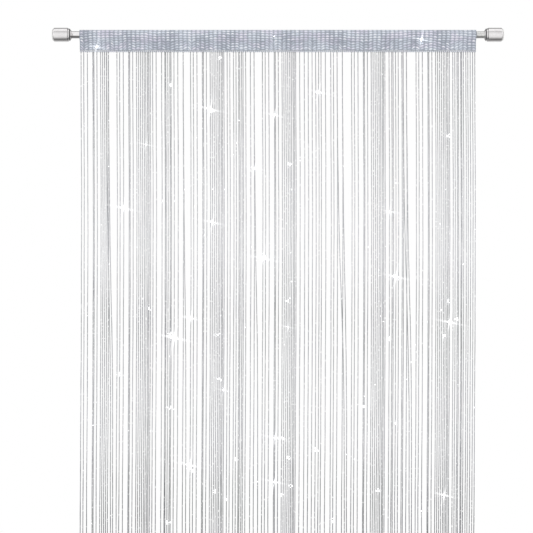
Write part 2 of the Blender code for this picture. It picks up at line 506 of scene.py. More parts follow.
@dataclass(frozen=True)
class TwistedYarn:
    """Silver-grey yarn of the strings, twisted from plies, with painted light along their depth and white dashes
    painted as the sparkle of metal thread.
    """

    name: str = "silver_yarn"
    light: Triple = linear(136, 142, 140)
    lilac: Triple = linear(138, 137, 147)
    dark: Triple = linear(87, 88, 92)
    # Tone of the painted light along the strings
    painted_light: Triple = linear(223, 224, 228)
    painted_sparkle: Triple = linear(255, 255, 255)
    ply_pitch: float = 0.0032
    plies: float = 3.0
    whole_depth: float = 2.0
    # Painted light that changes with depth: depth below the rod and share
    painted_light_by_depth: tuple = (
        (0.07, 0.29), (0.11, 0.36), (0.16, 0.37), (0.23, 0.45), (0.30, 0.54), (0.36, 0.60), (0.50, 0.66),
        (0.57, 0.48), (0.65, 0.30), (0.74, 0.44), (0.83, 0.46), (0.92, 0.43), (1.00, 0.20), (1.09, 0.00),
        (1.30, 0.30), (2.00, 0.30),
    )

    def material(self) -> bpy.types.Material:
        """Make the material: plies wind round the yarn, tone drifts along it, painted light changes with depth,
        and white dashes paint the sparkle of metal thread.

        Returns:
            The material.
        """
        shader = Shader(self.name)
        coordinates = shader.out(shader.node("ShaderNodeTexCoord"), "UV")
        around, along, _ = shader.axes(coordinates)
        _, _, z = shader.axes(shader.place())
        turns = (around * self.plies + along / self.ply_pitch) * math.tau
        ply = turns.wave()
        drift = shader.noise(1.0, 2.0, (500.0, 0.0, 30.0))
        fleece = shader.noise(1800.0, 2.0)
        # White dashes: painted sparkle of metal thread
        spark = shader.noise(1.0, 0.0, (420.0, 0.0, 260.0)).step(0.69, 0.72)
        # Painted light that changes with depth
        depths = [(depth / self.whole_depth, share) for depth, share in self.painted_light_by_depth]
        painted_light = shader.axes(shader.ramp(z * (-1.0 / self.whole_depth), depths))[0]
        tone = (ply * 0.35 + drift * 0.9 + fleece * 0.25).step(0.35, 1.05)
        hue = shader.noise(1.0, 1.0, (9.0, 0.0, 5.0)).step(0.35, 0.65)
        yarn = shader.blend(tone, self.dark, shader.blend(hue, self.light, self.lilac))
        yarn = shader.blend(painted_light * (0.6 + drift * 0.8), yarn, self.painted_light)
        return shader.finish(
            Base_Color=shader.blend(spark, yarn, self.painted_sparkle),
            Metallic=0.08,
            Roughness=0.6 - spark * 0.3 + fleece * 0.1,
            Sheen_Weight=0.15,
            Normal=shader.bump(ply * 0.8 + fleece * 0.2, 0.00025, 0.6),
        )


@dataclass(frozen=True)
class Glitter:
    """Flecks of bright foil; those that glow are painted glints."""

    name: str
    colour: Triple = (0.95, 0.96, 0.98)
    glow: float = 0.0
    roughness: float = 0.12

    def material(self) -> bpy.types.Material:
        """Make the material: mirror-like foil, tinted here and there, with a glow as a painted glint.

        Returns:
            The material.
        """
        shader = Shader(self.name)
        tint = shader.noise(60.0, 1.0)
        return shader.finish(
            Base_Color=shader.blend(tint.step(0.4, 0.7), self.colour, (0.86, 0.90, 0.97)),
            Metallic=1.0,
            Roughness=self.roughness + tint * 0.1,
            # Glow: painted glint
            Emission_Color=(1.0, 1.0, 1.0),
            Emission_Strength=self.glow,
        )


@dataclass(frozen=True)
class PaleFloor:
    """Plain pale floor, faintly mottled."""

    name: str = "pale_floor"
    colour: Triple = (0.86, 0.86, 0.86)
    mottle: Triple = (0.82, 0.82, 0.82)

    def material(self) -> bpy.types.Material:
        """Make the material.

        Returns:
            The material.
        """
        shader = Shader(self.name)
        cloud = shader.noise(3.0, 3.0)
        return shader.finish(Base_Color=shader.blend(cloud, self.colour, self.mottle), Roughness=0.7)


def joined(*parts: np.ndarray | float) -> np.ndarray:
    """Join coordinates, or corner numbers, along a new last axis. Smaller parts are spread out first."""
    return np.stack(np.broadcast_arrays(*parts), axis=-1)


def circle(steps: int) -> np.ndarray:
    """Angles that divide a circle evenly."""
    return np.linspace(0.0, math.tau, steps, endpoint=False)


def grid_quads(rows: int, columns: int, wrap_rows: bool, wrap_columns: bool) -> np.ndarray:
    """Corner numbers of the quads of a grid of points, wrapped round where asked.

    Args:
        rows: Points along the first parameter.
        columns: Points along the second parameter.
        wrap_rows: Whether the last row joins the first.
        wrap_columns: Whether the last column joins the first.

    Returns:
        One row of four corner numbers for each quad.
    """
    row, column = np.meshgrid(
        np.arange(rows if wrap_rows else rows - 1),
        np.arange(columns if wrap_columns else columns - 1),
        indexing="ij",
    )
    below, beside = (row + 1) % rows, (column + 1) % columns
    corners = [row * columns + column, row * columns + beside, below * columns + beside, below * columns + column]
    return np.stack(corners, axis=-1).reshape(-1, 4)


def tube_faces(count: int, rings: int, sides: int) -> Faces:
    """Faces of tubes that follow each other in the list of points, each closed by one flat face an end.

    Args:
        count: How many tubes.
        rings: Rings of points in each.
        sides: Points on a ring.

    Returns:
        The quads of the walls, and the end faces.
    """
    offsets = (np.arange(count) * rings * sides)[:, None, None]
    quads = (grid_quads(rings, sides, False, True)[None] + offsets).reshape(-1, 4)
    first = np.arange(sides)[None]
    ends = np.concatenate([first + offsets[:, 0], (rings - 1) * sides + first[:, ::-1] + offsets[:, 0]])
    return [quads, ends]


def signed_volume(points: np.ndarray, faces: Faces) -> float:
    """Volume that the faces enclose: a sixth of the sum of a dot (b cross c) over their triangles.

    Args:
        points: All points.
        faces: Arrays of faces.

    Returns:
        The volume, negative where the faces point inwards.
    """
    total = 0.0
    for group in faces:
        for corner in range(1, group.shape[1] - 1):
            a, b, c = points[group[:, 0]], points[group[:, corner]], points[group[:, corner + 1]]
            total += float((a * np.cross(b, c)).sum()) / 6.0
    return total


@dataclass
class Surface:
    """Points and faces of a closed surface, ready to become a piece."""

    points: np.ndarray
    faces: Faces
    uv: Faces | None = None
    attributes: dict[str, np.ndarray] = field(default_factory=dict)

    def make(self, name: str, material: bpy.types.Material, slot: str) -> bpy.types.Object:
        """Turn the surface into an object that faces outwards and rides on the frame.

        Args:
            name: The piece's name.
            material: Its material.
            slot: The record's material slot that it belongs to. Not used.

        Returns:
            The new object.
        """
        flip = signed_volume(self.points, self.faces) < 0.0
        faces = [group[:, ::-1] if flip else group for group in self.faces]
        mesh = bpy.data.meshes.new(name)
        mesh.vertices.add(len(self.points))
        mesh.vertices.foreach_set("co", self.points.astype(np.float32).ravel())
        corners = np.concatenate([group.ravel() for group in faces]).astype(np.int32)
        sizes = np.concatenate([np.full(len(group), group.shape[1]) for group in faces])
        mesh.loops.add(len(corners))
        mesh.polygons.add(len(sizes))
        mesh.polygons.foreach_set("loop_start", np.concatenate([[0], np.cumsum(sizes)[:-1]]).astype(np.int32))
        mesh.polygons.foreach_set("vertices", corners)
        mesh.update(calc_edges=True)
        mesh.shade_smooth()
        if self.uv is not None:
            uv = [group[:, ::-1] if flip else group for group in self.uv]
            layer = mesh.uv_layers.new(name="UVMap")
            flat = np.concatenate([group.reshape(-1, 2) for group in uv]).astype(np.float32)
            layer.data.foreach_set("uv", flat.ravel())
        for key, values in self.attributes.items():
            attribute = mesh.attributes.new(key, "FLOAT", "POINT")
            attribute.data.foreach_set("value", values.astype(np.float32).ravel())
        piece = bpy.data.objects.new(name, mesh)
        bpy.context.scene.collection.objects.link(piece)
        mesh.materials.append(material)
        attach(piece, "root")
        log.info("%s: %d triangles", name, int((sizes - 2).sum()))
        return piece


def softened(corners: np.ndarray, rounding: float, steps: int = 5) -> np.ndarray:
    """Round the inner corners of an outline.

    Each corner P becomes the curve (1-t)^2 S + 2t(1-t) P + t^2 E, where S and E lie towards the corner's
    neighbours, a rounding away or 45% of the way there if that is nearer.

    Args:
        corners: The outline's points, one row each.
        rounding: How far from a corner the curve starts.
        steps: Points on each curve, less one.

    Returns:
        The rounded outline.
    """
    middle = corners[1:-1]
    before, after = corners[:-2] - middle, corners[2:] - middle
    length_before = np.linalg.norm(before, axis=1, keepdims=True)
    length_after = np.linalg.norm(after, axis=1, keepdims=True)
    start = middle + before / length_before * np.minimum(rounding, 0.45 * length_before)
    end = middle + after / length_after * np.minimum(rounding, 0.45 * length_after)
    t = np.linspace(0.0, 1.0, steps + 1)[None, :, None]
    curves = (1 - t) ** 2 * start[:, None] + 2 * t * (1 - t) * middle[:, None] + t**2 * end[:, None]
    return np.concatenate([corners[:1], curves.reshape(-1, 2), corners[-1:]])


def turned(profile: np.ndarray, steps: int) -> Surface:
    """Turn a profile about the X axis: (along, r cos angle, r sin angle), with a pole at either end.

    Args:
        profile: (radius, along) rows whose first and last radius is nought.
        steps: Points round the axis.

    Returns:
        The closed surface.
    """
    angle = circle(steps)
    radius, along = profile[1:-1, 0, None], profile[1:-1, 1, None]
    rings = joined(along, radius * np.cos(angle), radius * np.sin(angle))
    count = len(rings)
    poles = np.array([[profile[0, 1], 0.0, 0.0], [profile[-1, 1], 0.0, 0.0]])
    points = np.concatenate([rings.reshape(-1, 3), poles])
    here = np.arange(steps)
    beside = (here + 1) % steps
    first_pole, last_pole, last_ring = count * steps, count * steps + 1, (count - 1) * steps
    fans = [
        joined(first_pole, beside, here),
        joined(last_pole, last_ring + here, last_ring + beside),
    ]
    return Surface(points, [grid_quads(count, steps, False, True), *fans])


def tubes(centres: np.ndarray, radii: np.ndarray, sides: int) -> Surface:
    """Carry a circle along many paths that run roughly downwards.

    A point is centre + radius (cos angle X + sin angle Y), and both ends are closed by one flat face.

    Args:
        centres: Path points, as (paths, points, 3).
        radii: Radius at each path point, as (paths, points).
        sides: Sides of the circle.

    Returns:
        The closed tubes, with a UV map of turns round and metres along.
    """
    paths, rings, _ = centres.shape
    angle = circle(sides)
    ring = joined(np.cos(angle), np.sin(angle), 0.0)
    points = centres[:, :, None, :] + radii[:, :, None, None] * ring
    steps = np.linalg.norm(np.diff(centres, axis=1), axis=-1)
    along = np.concatenate([np.zeros((paths, 1)), np.cumsum(steps, axis=1)], axis=1)
    turn = np.arange(sides + 1) / sides
    left = np.broadcast_to(turn[:-1], (paths, rings - 1, sides))
    right = np.broadcast_to(turn[1:], (paths, rings - 1, sides))
    top = np.broadcast_to(along[:, :-1, None], left.shape)
    bottom = np.broadcast_to(along[:, 1:, None], left.shape)
    corners = [joined(*pair) for pair in ((left, top), (right, top), (right, bottom), (left, bottom))]
    uv = [np.stack(corners, axis=-2).reshape(-1, 4, 2), np.zeros((2 * paths, sides, 2))]
    return Surface(points.reshape(-1, 3), tube_faces(paths, rings, sides), uv)


def flecks(centres: np.ndarray, sizes: np.ndarray, seed: int, thickness: float = 0.14) -> Surface:
    """Small eight-sided plates with random tilt: a flattened octahedron.

    Args:
        centres: Where they sit, as (flecks, 3).
        sizes: Half width of each.
        seed: Seed of the tilts.
        thickness: Share of the width that the octahedron is flattened to.

    Returns:
        All flecks as one surface.
    """
    random_numbers = np.random.default_rng(seed)
    base = np.array([[1, 0, 0], [0, 0, 1], [-1, 0, 0], [0, 0, -1], [0, -thickness, 0], [0, thickness, 0]])
    turn = np.linalg.qr(random_numbers.normal(size=(len(centres), 3, 3)))[0]
    turn = turn * np.sign(np.linalg.det(turn))[:, None, None]
    points = centres[:, None] + sizes[:, None, None] * np.einsum("nij,kj->nki", turn, base)
    around = np.arange(4)
    beside = (around + 1) % 4
    front, back = joined(around, beside, 4), joined(beside, around, 5)
    faces = np.concatenate([front, back])[None] + (np.arange(len(centres)) * 6)[:, None, None]
    return Surface(points.reshape(-1, 3), [faces.reshape(-1, 3)])


@dataclass
class TensionRod:
    """The rod with its spindle, caps and pads."""

    radius: float = 0.0080
    cap_radius: float = 0.0157
    cap_length: float = 0.0428
    cap_rounding: float = 0.0032
    pad_radius: float = 0.0130
    pad_thickness: float = 0.0022
    touching_gap: float = 0.0003
    socket_depth: float = 0.0120
    thread_pitch: float = 0.0030
    thread_height: float = 0.0007
    steps: int = 96

    def mirrored(self, profile: np.ndarray, side: Side) -> np.ndarray:
        """Move a profile measured inwards from an end to that end of the rod.

        Args:
            profile: (radius, distance from the end) rows.
            side: The end.

        Returns:
            (radius, x) rows.
        """
        lowest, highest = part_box("left_pad")[0][0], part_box("right_pad")[1][0]
        end = lowest if side is Side.LEFT else highest
        return joined(profile[:, 0], end - side.value * profile[:, 1])

    def pad(self, side: Side) -> Surface:
        """Soft pad: a disc with a rounded rim and a shallow ring pressed into its face.

        Args:
            side: The end it sits on.

        Returns:
            The pad.
        """
        r, t = self.pad_radius, self.pad_thickness
        profile = np.array([(0, 0), (r - 0.0034, 0), (r - 0.0031, 0.0004), (r - 0.0027, 0.0004),
                            (r - 0.0024, 0), (r - 0.0006, 0), (r, 0.0007), (r, t), (0, t)], float)
        return turned(self.mirrored(softened(profile, 0.0005), side), self.steps)

    def cap(self, side: Side) -> Surface:
        """Cap: rounded outer end, body, bevel, groove, rounded shoulder, recess, collar and socket.

        Args:
            side: The end it sits on.

        Returns:
            The cap.
        """
        start, mouth, r = self.pad_thickness + self.touching_gap, self.cap_length, self.cap_radius
        bore = self.radius + self.touching_gap
        quarter = np.linspace(0.0, 0.5 * math.pi, 10)
        rim = self.cap_rounding
        outer_end = joined(r - rim * (1 - np.sin(quarter)), start + rim * (1 - np.cos(quarter)))
        inner_end = np.array([
            (r, mouth - 0.0087), (0.0151, mouth - 0.0075), (0.0144, mouth - 0.0062),
            (0.0137, mouth - 0.0060), (0.0137, mouth - 0.0050), (0.0141, mouth - 0.0046),
            (0.0138, mouth - 0.0034), (0.0126, mouth - 0.0023), (0.0114, mouth - 0.0022),
            (0.0110, mouth - 0.0018), (0.0110, mouth - 0.0008), (0.0100, mouth - 0.0005),
            (0.0097, mouth), (bore, mouth), (bore, mouth - self.socket_depth), (0.0, mouth - self.socket_depth),
        ])
        profile = np.concatenate([[(0.0, start)], outer_end, softened(inner_end, 0.0005, 4)])
        return turned(self.mirrored(profile, side), self.steps)

    def tube(self) -> Surface:
        """Plain rod with slightly rounded edges.

        Returns:
            The rod.
        """
        low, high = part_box("rod")
        r = self.radius
        profile = np.array([(0, low[0]), (r - 0.0004, low[0]), (r, low[0] + 0.0004),
                            (r, high[0] - 0.0004), (r - 0.0004, high[0]), (0, high[0])])
        return turned(profile, self.steps)

    def spindle(self) -> Surface:
        """Threaded spindle: radius - height (1 - ridge), where the ridge climbs one pitch a turn.

        Returns:
            The spindle, with the ridge as an attribute.
        """
        low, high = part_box("spindle")
        along = np.arange(low[0], high[0], self.thread_pitch / 12)
        angle = circle(self.steps)
        phase = along[:, None] / self.thread_pitch + angle / math.tau
        ridge = np.clip(1.6 - 3.2 * np.abs(phase - np.round(phase)), 0.0, 1.0)
        radius = self.radius - self.thread_height * (1.0 - ridge)
        rings = joined(along[:, None], radius * np.cos(angle), radius * np.sin(angle))
        faces = tube_faces(1, len(along), self.steps)
        return Surface(rings.reshape(-1, 3), faces, attributes={"relief": ridge})

    def build(self) -> bpy.types.Object:
        """Make and dress all pieces of the rod.

        Returns:
            The rod's tube, which the header hangs on.
        """
        metal = SatinMetal().material()
        rod_metal = SatinMetal(
            "satin_metal_drawn", roughness=0.07, line_scale=(40.0, 3000.0, 3000.0), bump=0.08, rings=(),
            # Painted shade on the rod's lower side
            painted_underside_shade=(-0.0025, -0.0045, 0.55),
        ).material()
        rubber = SoftPad().material()
        for side in Side:
            name = side.name.lower()
            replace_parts(self.pad(side).make(f"{name}_rubber_pad", rubber, "soft_pad"), f"{name}_pad")
            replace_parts(self.cap(side).make(f"{name}_turned_cap", metal, "satin_metal"), f"{name}_cap")
        tube = self.tube().make("rod_tube", rod_metal, "rod_metal")
        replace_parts(tube, "rod")
        thread = self.spindle().make("threaded_spindle", ThreadMetal().material(), "thread_metal")
        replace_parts(thread, "spindle")
        return tube


@dataclass
class Header:
    """The ribbed knit band folded over the rod, as a sleeve with a flat tail."""

    ribs: int = 92
    columns_per_rib: int = 8
    points_round: int = 112
    row_height: float = 0.0059
    relief: float = 0.0009
    groove_sink: float = 0.0002
    pocket_radius: float = 0.0085
    pocket_bottom: float = -0.0150
    flat_length: float = 0.108
    seed: int = 5
    # Strong glints, painted as glowing flecks: distance from the left edge, height, half width
    glints: tuple = ((0.0387, -0.0280, 0.0010), (0.7756, -0.0120, 0.0009), (0.4420, -0.0060, 0.0004))
    # Outside in front of the rod at the foot of a rib: depth and height, from the top down
    section: tuple = (
        (0.0, 0.0111), (0.0044, 0.0103), (0.0080, 0.0078), (0.0104, 0.0040), (0.0110, 0.0),
        (0.0092, -0.0075), (0.0055, -0.0132), (0.0027, -0.0172), (0.0029, -0.0205), (0.0024, -0.0236),
        (0.0027, -0.0300), (0.0020, -0.0353), (0.0, -0.0362),
    )
    # Waves of the stitch rows: length in ribs, height in rows, and what the tail adds to the height
    row_waves: tuple = ((23.0, 0.30, 0.20), (9.3, 0.16, 0.16), (4.1, 0.06, 0.20), (2.3, 0.00, 0.22))
    # Stitched lines across the band: height and half width of the dip
    seams: tuple = ((-0.0172, 0.0009), (-0.0236, 0.0008), (-0.0357, 0.0005))

    def loop(self) -> tuple[np.ndarray, np.ndarray]:
        """Outer loop of the section, evenly spaced by length and a little smoothed.

        Returns:
            (y, z) points round the section from the top down the front and up the back, and the length
            along the loop of each.
        """
        half = np.array([(-depth, height) for depth, height in self.section])
        whole = np.concatenate([half, half[-2:0:-1] * (-1, 1), half[:1]])
        lengths = np.concatenate([[0.0], np.cumsum(np.linalg.norm(np.diff(whole, axis=0), axis=1))])
        along = np.linspace(0.0, lengths[-1], self.points_round, endpoint=False)
        even = np.stack([np.interp(along, lengths, whole[:, axis]) for axis in (0, 1)], axis=-1)
        smooth = 0.25 * np.roll(even, 1, axis=0) + 0.5 * even + 0.25 * np.roll(even, -1, axis=0)
        return smooth, along

    def pocket(self, loop: np.ndarray) -> np.ndarray:
        """Inner loop with one point for each outer one.

        Above the rod's centre it is the outer loop drawn in to the pocket's radius; below, it keeps a
        share of the outer depth and stops at the pocket's bottom, where all points of the tail meet.

        Args:
            loop: The outer (y, z) loop.

        Returns:
            The inner (y, z) loop.
        """
        y, z = loop[:, 0], loop[:, 1]
        reach = np.maximum(np.hypot(y, z), 1e-6)
        top = loop * (self.pocket_radius / reach)[:, None]
        share = np.clip(1.0 + z / -self.pocket_bottom, 0.0, 1.0)
        tail = np.clip((z - self.pocket_bottom) / (z.min() - self.pocket_bottom), 0.0, 1.0)
        low_y = np.sign(y) * (self.pocket_radius * share ** 0.8 + 0.0001 * (1.0 - tail))
        low_z = np.maximum(z, self.pocket_bottom) - 0.0002 * tail
        return np.where((z > 0.0)[:, None], top, joined(low_y, low_z))

    def surface(self) -> Surface:
        """The sleeve as one closed grid.

        The outside is section + normal x relief, where relief = rib x stitch. The rib is a power of the
        cosine across it. The stitch is a cosine along the loop whose phase runs ahead towards the rib's
        sides, which gives small V shapes, with an uneven size for each. The grid runs along the outside
        from left to right and back through the pocket.

        Returns:
            The closed surface with its relief and its rim as attributes.
        """
        random_numbers = np.random.default_rng(self.seed)
        low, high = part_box("header")
        loop, along = self.loop()
        tangent = np.roll(loop, -1, axis=0) - np.roll(loop, 1, axis=0)
        normal = joined(tangent[:, 1], -tangent[:, 0])
        normal /= -np.linalg.norm(normal, axis=1, keepdims=True)
        columns = self.ribs * self.columns_per_rib + 1
        across = np.linspace(0.0, self.ribs, columns)[:, None]
        share = across - np.floor(np.minimum(across, self.ribs - 1e-9))
        to_side = np.abs(2.0 * share - 1.0)
        rib = np.cos(0.5 * math.pi * to_side) ** 0.8
        tail = np.clip((-loop[:, 1] - 0.012) / 0.006, 0.0, 1.0)[None]
        rib_number = np.minimum(across, self.ribs - 1e-9).astype(int)
        wave = 0.0 * across
        for wavelength, height, tail_height in self.row_waves:
            turn = random_numbers.uniform(0.0, math.tau)
            wave = wave + (height + tail_height * tail) * np.sin(math.tau * across / wavelength + turn)
        slant = random_numbers.uniform(-0.75, 0.75, self.ribs)[rib_number] * (0.25 + 1.2 * tail)
        phase = along[None] / self.row_height - 0.22 * to_side + wave + slant * (share - 0.5)
        row_number = np.floor(phase + 0.5).astype(int) % 32
        size = random_numbers.uniform(0.62, 1.15, (self.ribs, 32))[rib_number, row_number]
        stitch = 0.5 + 0.5 * np.cos(math.tau * phase)
        relief = np.clip((0.12 + 0.88 * rib) * (0.14 + 0.86 * stitch) * size, 0.0, 1.1)
        seam = np.zeros(len(loop))
        for height, width in self.seams:
            seam += np.exp(-(((loop[:, 1] - height) / width) ** 2))
        seam = np.clip(seam, 0.0, 1.0)[None]
        relief = relief * (1.0 - 0.55 * seam)
        raised = self.relief * relief - self.groove_sink
        x = low[0] + (high[0] - low[0]) * across / self.ribs
        sag = 0.00025 * np.sin(across * 0.45) * np.clip(-loop[:, 1] / 0.036, 0.0, 1.0)[None]
        outside = joined(
            x, loop[:, 0] + raised * normal[:, 0], loop[:, 1] + raised * normal[:, 1] + sag,
        )
        inner = self.pocket(loop)
        inner_rows = [np.column_stack([np.full(len(inner), end), inner]) for end in (high[0], low[0])]
        grid = np.concatenate([outside, np.stack(inner_rows)])
        rim = np.clip((-loop[:, 1] - 0.0335) / 0.0015, 0.0, 1.0)
        plain = np.zeros((2, len(loop)))
        faces = [grid_quads(columns + 2, len(loop), True, True)]
        attributes = {
            "relief": np.concatenate([relief, plain + 0.4]),
            "rim": np.concatenate([np.broadcast_to(rim, relief.shape), plain]),
        }
        return Surface(grid.reshape(-1, 3), faces, attributes=attributes)

    def glitter_places(self) -> np.ndarray:
        """A fleck on most stitches of the band, at uneven places on its outside.

        Returns:
            The flecks' places.
        """
        random_numbers = np.random.default_rng(self.seed + 1)
        low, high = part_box("header")
        loop, along = self.loop()
        ribs, rows = np.meshgrid(np.arange(self.ribs), np.arange(int(along[-1] / self.row_height)))
        shown = random_numbers.random(ribs.size) < 0.6
        across = ribs.ravel()[shown] + 0.5 + random_numbers.uniform(-0.2, 0.2, shown.sum())
        down = (rows.ravel()[shown] + random_numbers.uniform(-0.12, 0.12, shown.sum())) * self.row_height
        down = down % along[-1]
        y = np.interp(down, along, loop[:, 0])
        z = np.interp(down, along, loop[:, 1])
        reach = np.maximum(np.hypot(y, np.maximum(z, 0.0)), 1e-6)
        out = self.relief * 0.25
        x = low[0] + (high[0] - low[0]) * across / self.ribs
        return joined(x, y + out * y / reach, z + out * np.maximum(z, 0.0) / reach)

    def strong_glints(self) -> Surface:
        """Glowing flecks as painted glints, on the front of the band at the places of the table.

        Returns:
            The flecks.
        """
        low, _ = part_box("header")
        loop, _ = self.loop()
        wanted = np.array(self.glints)
        front = loop[: len(loop) // 2]
        depth = np.interp(-wanted[:, 1], -front[:, 1], front[:, 0]) - self.relief
        places = joined(low[0] + wanted[:, 0], depth, wanted[:, 1])
        return flecks(places, wanted[:, 2], self.seed + 4, 0.8)

    def build(self, hung_on: bpy.types.Object) -> bpy.types.Object:
        """Make the band and its glitter.

        Args:
            hung_on: The piece that carries it. Not used.

        Returns:
            The band.
        """
        band = self.surface().make("header_band", RibbedKnit().material(), "header_knit")
        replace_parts(band, "header")
        foil = Glitter("header_foil", roughness=0.3).material()
        places = self.glitter_places()
        sizes = np.random.default_rng(self.seed + 2).uniform(0.0004, 0.0008, len(places))
        glitter = flecks(places, sizes, self.seed + 3).make("header_glitter", foil, "header_knit")
        # Glowing flecks: painted glints
        shine = Glitter("header_glint_foil", glow=60.0).material()
        self.strong_glints().make("header_glints", shine, "header_knit")
        return band


@dataclass
class Fringe:
    """The strings, the braid that binds them, their knots, their frayed ends and their glitter."""

    string_radius: float = 0.0009
    strip_height: float = 0.0026
    strip_thickness: float = 0.0044
    drop: float = 2.000
    header_top: float = 0.0116
    end_unevenness: float = 0.0060
    layer_depth: float = 0.0011
    seed: int = 25
    rings: int = 150
    sides: int = 6
    string_swell: float = 0.10
    tip_share: float = 0.35
    course_blur: float = 0.06
    # Wobble: wavelength and size of each wave, its share in depth, and the length in which it sets in
    wobble_waves: tuple = ((0.34, 0.00014), (0.13, 0.00008), (0.055, 0.00004))
    wobble_depth_share: float = 0.6
    wobble_onset: float = 0.08
    braid_rings: int = 1126
    braid_sides: int = 16
    braid_swell: float = 0.16
    braid_turn: float = 0.009
    knot_radius: float = 0.0013
    knot_half_height: float = 0.0017
    # Fibres of a frayed end: how many, how far they spread, how long and how thick they are
    fibres: int = 5
    fibre_spread: tuple[float, float] = (0.0008, 0.0022)
    fibre_length: tuple[float, float] = (0.004, 0.009)
    fibre_radius: float = 0.00016
    # Loose flecks: how many, and the range of their half widths
    dull_flecks: tuple = (5200, (0.0005, 0.0010))
    # Glowing flecks: painted sparkle
    glowing_flecks: tuple = (240, (0.0006, 0.0012))
    flecks_a_patch: int = 6
    patch_spread: float = 0.0024
    patch_half_width: tuple[float, float] = (0.0007, 0.0013)
    # Distance of placed flecks in front of a string's middle, in string radii
    stand_off: float = 1.3
    # Share of length, sideways sway, follower's share of its drift
    course: tuple = (
        (0.00, 0.0000, 0.00), (0.19, 0.0016, 0.10), (0.38, 0.0002, 0.85), (0.57, -0.0023, 1.00),
        (1.00, -0.0008, 1.00),
    )
    # Offsets of the run that opens each section, from its first string
    lead_in: tuple = (
        0.0, 0.0062, 0.0144, 0.0268, 0.0292, 0.0360, 0.0444, 0.0488,
        0.0533, 0.0576, 0.0619, 0.0655, 0.0694, 0.0722, 0.0756,
    )
    # First string, strings taken from the lead-in, offsets of the section's own strings, and drifts of the
    # followers behind its last strings, from the last one inwards
    sections: tuple = (
        (0.0025, 11, (), (0.0118, 0.0110)),
        (0.0840, 15, (0.0812, 0.0891, 0.1017, 0.1089, 0.1111, 0.1156, 0.1204, 0.1229, 0.1297, 0.1385,
                      0.1505), (0.0077,)),
        (0.2515, 15, (0.0831, 0.0892, 0.0976, 0.1032, 0.1092, 0.1118, 0.1161, 0.1193, 0.1252, 0.1361,
                      0.1443), (0.0102,)),
        (0.4149, 15, (0.0847, 0.0952, 0.1041, 0.1128, 0.1210, 0.1278, 0.1332, 0.1431, 0.1553, 0.1615, 0.1697,
                      0.1818), (0.0117, 0.0190)),
        (0.6176, 15, (0.0852, 0.0912, 0.0941, 0.0999, 0.1059, 0.1142, 0.1172, 0.1249), (0.0138, 0.0163)),
        (0.7641, 15, (0.0835, 0.0881, 0.0932, 0.0960, 0.1014, 0.1036, 0.1075, 0.1133, 0.1178, 0.1231, 0.1286,
                      0.1336), ()),
    )
    # Strong glints in the strings, painted as glowing flecks: distance from the left edge, depth below the
    # header's top, half width
    glints: tuple = (
        (0.439, 0.194, 0.0009), (0.541, 0.142, 0.0009), (0.152, 0.262, 0.0006), (0.105, 0.406, 0.0010),
        (0.303, 0.438, 0.0009), (0.414, 0.520, 0.0011), (0.403, 0.315, 0.0009), (0.842, 0.665, 0.0012),
        (0.255, 0.656, 0.0009), (0.216, 0.701, 0.0014), (0.475, 0.676, 0.0007), (0.703, 0.414, 0.0008),
        (0.720, 0.562, 0.0012), (0.250, 0.990, 0.0012), (0.442, 1.028, 0.0010), (0.830, 1.058, 0.0011),
        (0.330, 0.820, 0.0007), (0.442, 0.928, 0.0008), (0.298, 0.181, 0.0010),
    )
    # Soft bright patches of glowing flecks in the strings, a painted sparkle: distance from the left edge and
    # depth below the header's top
    patches: tuple = (
        (0.479, 1.039), (0.647, 0.857), (0.158, 0.634), (0.827, 0.696), (0.090, 0.784), (0.299, 0.186),
        (0.461, 0.930), (0.201, 1.119), (0.458, 1.057), (0.317, 0.796), (0.838, 0.618), (0.477, 0.305),
        (0.679, 1.048), (0.313, 0.693), (0.258, 1.003), (0.206, 0.860), (0.317, 0.066), (0.536, 0.955),
        (0.354, 0.978), (0.574, 1.119), (0.704, 0.703), (0.720, 0.894), (0.856, 0.657), (0.472, 0.616),
        (0.472, 0.973), (0.838, 0.241), (0.306, 1.051), (0.331, 1.069), (0.206, 0.127), (0.204, 0.691),
    )

    def section_rows(self) -> list[np.ndarray]:
        """Strings of each section, the front ones first and then their followers.

        Returns:
            One array a section, with rows of place, layer, drift and length.
        """
        lengths = random.Random(self.seed)
        full = self.root_height() - (self.header_top - self.drop)
        sections = []
        for first, lead_in_count, own_offsets, drifts in self.sections:
            places = [first + offset for offset in self.lead_in[:lead_in_count] + own_offsets]
            rows = [(place, Layer.FRONT.value, 0.0) for place in places]
            rows += [(place, Layer.BEHIND.value, drift) for place, drift in zip(reversed(places), drifts)]
            sections.append(np.array([(*row, full - lengths.uniform(0.0, self.end_unevenness)) for row in rows]))
        return sections

    def root_height(self) -> float:
        """Height at which the strings start, inside the strip."""
        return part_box("string_fringe")[1][2] - 0.4 * self.strip_height

